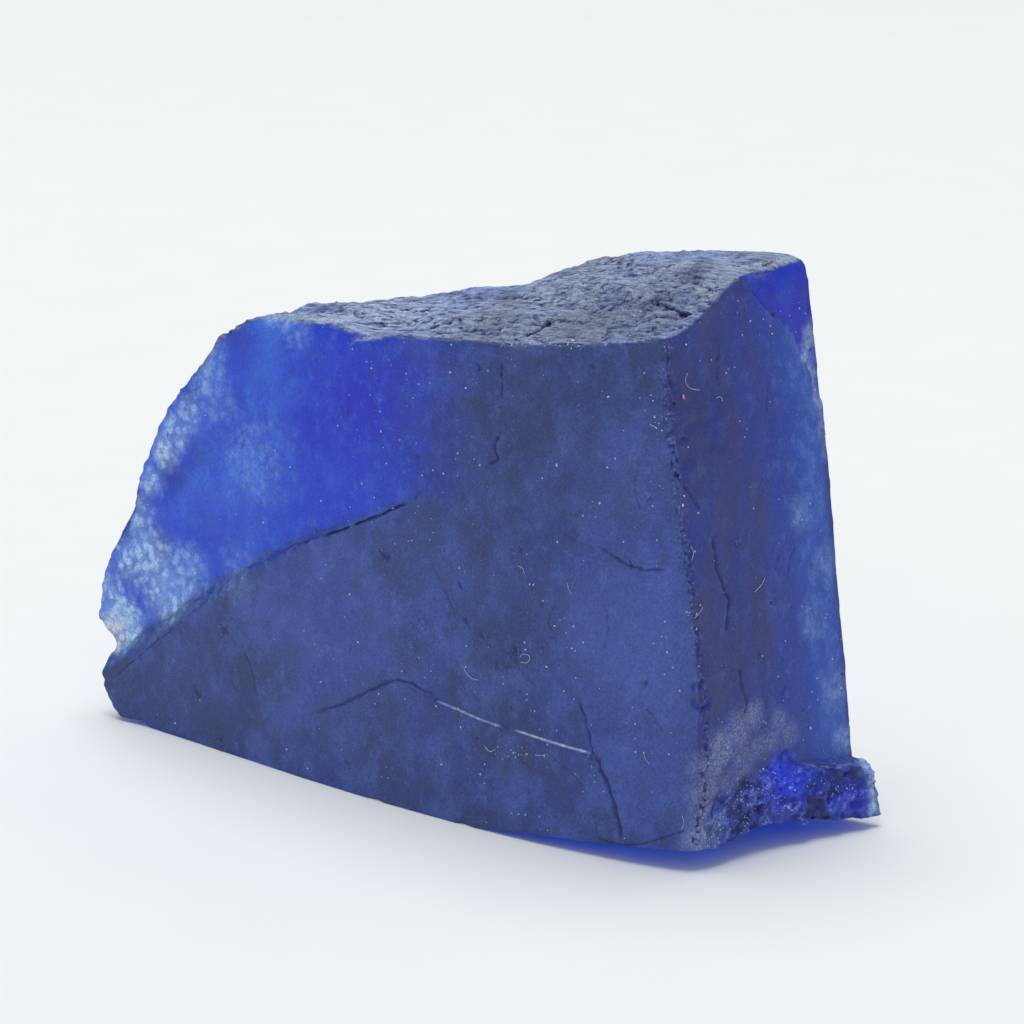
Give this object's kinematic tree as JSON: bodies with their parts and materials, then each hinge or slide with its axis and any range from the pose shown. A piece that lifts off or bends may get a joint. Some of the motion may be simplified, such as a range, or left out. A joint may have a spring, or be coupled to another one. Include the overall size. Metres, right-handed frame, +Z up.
{
  "type": "rough tanzanite",
  "caption": "Rough blue tanzanite: a wedge-shaped broken crystal block with two broad faces, a stepped lobe at its thin end and a granular foot at its thick end.",
  "frame": {"origin": "middle of the bounding box at the underside, on the surface that the stone stands on", "axes": "+X along the stone's length, from the thin end to the thick end; +Y from the broad front face through the stone to the back; +Z up"},
  "size_m": [0.0532, 0.0158, 0.0341],
  "materials": {
    "tanzanite": "dull, dusty, translucent slate blue on the broad faces, brighter blue where thin, grey-blue and fibrous on the broken top"
  },
  "bodies": {
    "root": {"stone": "tanzanite"}
  },
  "joints": []
}
